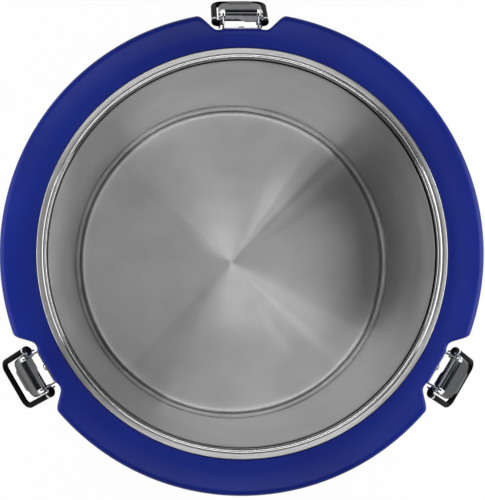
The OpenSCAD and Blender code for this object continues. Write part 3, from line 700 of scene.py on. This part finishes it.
# Shell and base plug: deep even blue with a soft sheen, the plug a shade darker
blue = moulded_polyethylene("moulded_polyethylene_blue", "#0d1a63", "#11216f")
plug_blue = moulded_polyethylene("moulded_polyethylene_plug", "#0c1258", "#0f1764")
liner_steel = spun_stainless()
# Levers and brackets: smooth steel that shows the white floor as mid grey at a slant; the crest's darker copy
# is a painted dark reflection
lever_steel = bright_steel("polished_lever_steel", "#6a6b6e", "#76777a", 0.1, 0.18, 0.4)
crest_dark_reflection_steel = bright_steel("crest_steel_painted_dark_reflection", "#37383b", "#434447", 0.1, 0.18, 0.34)
latch_steel = bright_steel("rolled_bracket_steel", "#6d6e71", "#7c7d80", 0.14, 0.24, 0.4)
# Rivets, ferrules and wire: brighter steel, turned smooth or drawn a little duller
rivet_steel = bright_steel("turned_rivet_steel", "#bcbdbe", "#cacbcc", 0.14, 0.22)
plain_steel = bright_steel("drawn_wire_steel", "#9a9b9c", "#a9aaab", 0.2, 0.32)
# Sleeve, and painted shade in the neck groove: near black, with a faint gloss on the sleeve and none in the
# neck
sleeve_black = soft_matter("extruded_sleeve_black", "#060607", "#0b0b0c", 1.2, 0.02, 0.36, 0.02)
painted_neck_shade = soft_matter("painted_neck_shade_black", "#050506", "#09090a", 1.2, 0.02, 0.6, 0.0)
# Inside, out of sight: smooth dull grey silicone and gritty cream foam
silicone = soft_matter("moulded_silicone_grey", "#84888c", "#8e9296", 0.8, 0.02, 0.6)
foam = soft_matter("foamed_polyurethane_cream", "#d6c58a", "#e6d7a2", 1.5, 0.4, 0.9)


# Pieces

piece("shell", "container", blue, [moulded_shell()], ["outer_shell"], wrap=(True, True))
# The neck groove under the bead is drawn near black: painted shade
piece("liner", "container", liner_steel, spun_liner(), ["inner_liner"], {1: painted_neck_shade})

plug = rounded([(0, PLUG_INSET, 0), (PLUG_RIM_R - PLUG_GAP, PLUG_INSET, PLUG_EDGE),
                (PLUG_RIM_R - PLUG_GAP, PLUG_SEAT, PLUG_STEP_EDGE),
                (PLUG_R - PLUG_GAP, PLUG_SEAT, PLUG_STEP_EDGE),
                (PLUG_R - PLUG_GAP, WALL, PLUG_TOP_EDGE), (0, WALL, 0)], 4)
piece("base_plug", "container", plug_blue, [revolved(plug, 96) + np.array([0, PLUG_Y, 0])],
      ["foam_plug"])

for node, material in [("foam_core", foam), ("rim_seal", silicone)] + [
        (f"{side}_latch_backing", plain_steel) for side in LATCHES]:
    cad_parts[node].data.materials.clear()
    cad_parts[node].data.materials.append(material)

pin_at = np.array([0, PIN_Y, PIN_Z])
plate_y = PAD_Y + PLATE_T

plate_outline = rounded([(0, PLATE_LOW, 0), (PLATE_HALF, PLATE_LOW, PLATE_ROUND),
                         (PLATE_HALF, PLATE_TOP, PLATE_ROUND), (-PLATE_HALF, PLATE_TOP, PLATE_ROUND),
                         (-PLATE_HALF, PLATE_LOW, PLATE_ROUND), (0, PLATE_LOW, 0)], 5)[:-1]
plate = slab(plate_outline, PAD_Y, plate_y, PLATE_EDGE)[..., [0, 2, 1]]
ear_outline = np.concatenate([[(PAD_Y + EAR_SUNK, PIN_Z - EAR_ROOT), (PIN_Y - EAR_R, PIN_Z - EAR_R)],
                              arc((PIN_Y, PIN_Z), EAR_R, -90, 90, 20),
                              [(PIN_Y - EAR_R, PIN_Z + EAR_R), (PAD_Y + EAR_SUNK, PIN_Z + EAR_ROOT)]])
ear = slab(ear_outline, PLATE_HALF - EAR_T, PLATE_HALF, EAR_EDGE)[..., [2, 0, 1]]

ball = (RIVET_HEAD_R**2 + RIVET_DOME**2) / (2 * RIVET_DOME)
swell = math.degrees(math.asin(RIVET_HEAD_R / ball))
tail_top = RIVET_TAIL_H - RIVET_TAIL
rivet = np.concatenate([[(0, -RIVET_TAIL), (RIVET_TAIL_R, -RIVET_TAIL), (RIVET_TAIL_R, tail_top),
                         (RIVET_R, tail_top), (RIVET_R, -RIVET_UNDER), (RIVET_HEAD_R, 0.0)],
                        arc((0, RIVET_DOME - ball), ball, 90 - swell, 90, 12)])
rivet = revolved(rivet, 40)[..., [0, 2, 1]]
rivets = [rivet + np.array([x, plate_y, z]) for x, z in RIVETS]

head = LEVER_HALF + PIN_PLAY
pin = rounded([(0, -head - PIN_HEAD_T, 0), (PIN_HEAD_R, -head - PIN_HEAD_T, PIN_HEAD_EDGE),
               (PIN_HEAD_R, -head, PIN_HEAD_FOOT), (PIN_R, -head, PIN_FILLET), (PIN_R, head, PIN_FILLET),
               (PIN_HEAD_R, head, PIN_HEAD_FOOT), (PIN_HEAD_R, head + PIN_HEAD_T, PIN_HEAD_EDGE),
               (0, head + PIN_HEAD_T, 0)], 5)
pin = revolved(pin, 40)[..., [2, 0, 1]] + pin_at

channel, lobe, crest = lever_sheet()
lever = [channel, lobe, lobe[:, ::-1] * np.array([-1, 1, 1]), crest]

wire = bar(wire_path(), WIRE_R, WIRE_EDGE)
sleeve = bar(bail_path(BOOT_LEN + FERRULE_LEN), SLEEVE_R, SLEEVE_EDGE)
boot = bar(turned_in(BOOT_IN, BOOT_LEN), BOOT_R, BOOT_EDGE)
collar = rounded([(0, -BOOT_LEN - FERRULE_LEN, 0), (FERRULE_R, -BOOT_LEN - FERRULE_LEN, FERRULE_EDGE),
                  (FERRULE_R, -BOOT_LEN, FERRULE_EDGE), (0, -BOOT_LEN, 0)], 5)
collar = revolved(collar, 32) + np.array([ARM_X, 0, 0])

for side, (turn, opened, hang) in LATCHES.items():
    piece(f"{side}_bracket", "container", latch_steel, placed([plate] + mirrored(ear), turn),
          [f"{side}_latch_plate"])
    piece(f"{side}_rivet_heads", "container", rivet_steel, placed(rivets, turn),
          [f"{side}_latch_rivets"])
    piece(f"{side}_lever_pin", "container", latch_steel, placed([pin], turn),
          [f"{side}_latch_pin"])

    # The crest and strip take the darker steel: a painted dark reflection
    made = piece(f"{side}_lever_sheet", f"{side}_lever", lever_steel,
                 placed(lever, turn, opened, pin_at), [f"{side}_latch_lever"],
                 {3: crest_dark_reflection_steel}, wrap=(False, False), merge=LEVER_MERGE, turn=False)
    sheet = made.modifiers.new("sheet", "SOLIDIFY")
    sheet.thickness, sheet.offset = LEVER_SHEET * MM, -1
    rim = made.modifiers.new("rim", "BEVEL")
    rim.width, rim.segments, rim.harden_normals = LEVER_EDGE * MM, LEVER_EDGE_STEPS, True
    rim.limit_method, rim.angle_limit = "ANGLE", math.radians(LEVER_EDGE_ANGLE)

    bail_at = about_x(np.array([0, -BAIL_BACK, -BAIL_BELOW]), opened) + pin_at
    piece(f"{side}_bail_loop", f"{side}_bail", plain_steel,
          placed([wire], turn, hang, bail_at), [f"{side}_bail_wire"])
    piece(f"{side}_bail_tube", f"{side}_bail", sleeve_black,
          placed([sleeve], turn, hang, bail_at), [f"{side}_bail_sleeve"])
    piece(f"{side}_bail_collars", f"{side}_bail", rivet_steel,
          placed(mirrored(collar), turn, hang, bail_at), [f"{side}_bail_ferrules"])
    piece(f"{side}_bail_caps", f"{side}_bail", sleeve_black,
          placed(mirrored(boot), turn, hang, bail_at), [f"{side}_bail_boots"])


# Floor, light and camera

# The floor's half width and its drop below the base in metres, and the share of its white that it glows with
STUDIO_HALF, STUDIO_DROP, GLOW_SHARE = 60.0, 0.0002, 0.95


def studio_floor():
    """White studio floor: for what looks at it, it glows at white less a share that keeps the soft shadow."""
    material, tree, shader = new_material("white_studio_floor")
    shader.inputs["Base Color"].default_value = linear("#e6e6e6")
    shader.inputs["Roughness"].default_value = 0.8
    path = add(tree, "ShaderNodeLightPath")
    seen = add(tree, "ShaderNodeMath", None,
               {0: path.outputs["Is Camera Ray"], 1: path.outputs["Is Glossy Ray"]}, operation="MAXIMUM")
    seen = add(tree, "ShaderNodeMath", None, {0: seen.outputs[0], 1: path.outputs["Is Transmission Ray"]},
               operation="MAXIMUM")
    share = add(tree, "ShaderNodeMath", {1: GLOW_SHARE}, {0: seen.outputs[0]}, operation="MULTIPLY")
    glow = add(tree, "ShaderNodeEmission", {"Color": (1, 1, 1, 1), "Strength": 1.0})
    mix = add(tree, "ShaderNodeMixShader", None, {"Fac": share.outputs[0], 1: shader.outputs["BSDF"],
                                                  2: glow.outputs["Emission"]})
    tree.links.new(mix.outputs["Shader"], tree.nodes["Material Output"].inputs["Surface"])
    return material


floor_mesh = bpy.data.meshes.new("studio_floor")
corners = [(x * STUDIO_HALF, y * STUDIO_HALF, 0) for x, y in ((-1, -1), (1, -1), (1, 1), (-1, 1))]
floor_mesh.from_pydata(corners, [], [(0, 1, 2, 3)])
floor_mesh.materials.append(studio_floor())
floor = bpy.data.objects.new("studio_floor", floor_mesh)
bpy.context.scene.collection.objects.link(floor)
floor.location.z = -STUDIO_DROP

# The room, by the sine of the elevation: white near the horizon, dark above, and paler under the ceiling
HORIZON = (0.06, 0.7)
SKY = ((0.16, 0.06), (0.6, 0.06), (0.86, 0.2), (0.97, 0.34))
world = bpy.data.worlds.new("studio")
bpy.context.scene.world = world
world.use_nodes = True
sky = world.node_tree
upward = add(sky, "ShaderNodeSeparateXYZ", None, {0: add(sky, "ShaderNodeTexCoord").outputs["Generated"]})
shade = add(sky, "ShaderNodeValToRGB", None, {"Fac": upward.outputs["Z"]})
shade.color_ramp.elements.remove(shade.color_ramp.elements[1])
shade.color_ramp.elements[0].position = HORIZON[0]
shade.color_ramp.elements[0].color = (HORIZON[1], HORIZON[1], HORIZON[1], 1)
for z, value in SKY:
    shade.color_ramp.elements.new(z).color = (value, value, value, 1)
sky.links.new(shade.outputs["Color"], sky.nodes["Background"].inputs["Color"])

# Softboxes: azimuth and elevation in degrees, distance, width and height in metres, power in watts. They
# face a point in the container, this many metres above its base.
AIM = 0.2
SOFTBOXES = [(4, 72, 1.5, 1.0, 0.4, 3.0), (106, 60, 1.5, 1.4, 0.42, 10.8), (270, 60, 1.5, 1.3, 0.45, 9.8),
             (0, 20, 0.45, 0.4, 0.22, 1.6), (180, 20, 0.45, 0.4, 0.22, 1.2)]
for azimuth, elevation, distance, width, height, power in SOFTBOXES:
    lamp = bpy.data.lights.new(f"softbox_{azimuth}", "AREA")
    lamp.shape, lamp.size, lamp.size_y, lamp.energy = "RECTANGLE", width, height, power
    box = bpy.data.objects.new(f"softbox_{azimuth}", lamp)
    bpy.context.scene.collection.objects.link(box)
    a, e = math.radians(azimuth), math.radians(elevation)
    out = np.array([math.cos(a) * math.cos(e), math.sin(a) * math.cos(e), math.sin(e)])
    across = np.array([-math.sin(a), math.cos(a), 0])
    facing = Matrix(np.stack([across, np.cross(out, across), out], -1).tolist()).to_4x4()
    box.matrix_world = Matrix.Translation(out * distance + np.array([0, 0, AIM])) @ facing
    box.visible_camera = False

# The camera looks straight down from a little left of the front, upright along +Y, and the frame's middle
# lies beside the point below the camera
CAMERA_AT = np.array([-40.7, -32.4, FLANGE_Z + 935.0])
FRAME_AT = np.array([0.29, 2.68, FLANGE_Z])
SENSOR, VIEW_HEIGHT = 36.0, 371.9
camera = bpy.data.objects.new("camera", bpy.data.cameras.new("camera"))
bpy.context.scene.collection.objects.link(camera)
camera.matrix_world = Matrix.Translation(CAMERA_AT * MM)
camera.data.sensor_width = SENSOR
camera.data.lens = SENSOR * (CAMERA_AT[2] - FRAME_AT[2]) / VIEW_HEIGHT
camera.data.shift_x, camera.data.shift_y = (FRAME_AT - CAMERA_AT)[:2] / VIEW_HEIGHT
bpy.context.scene.camera = camera
bpy.context.scene.view_settings.view_transform = "Standard"
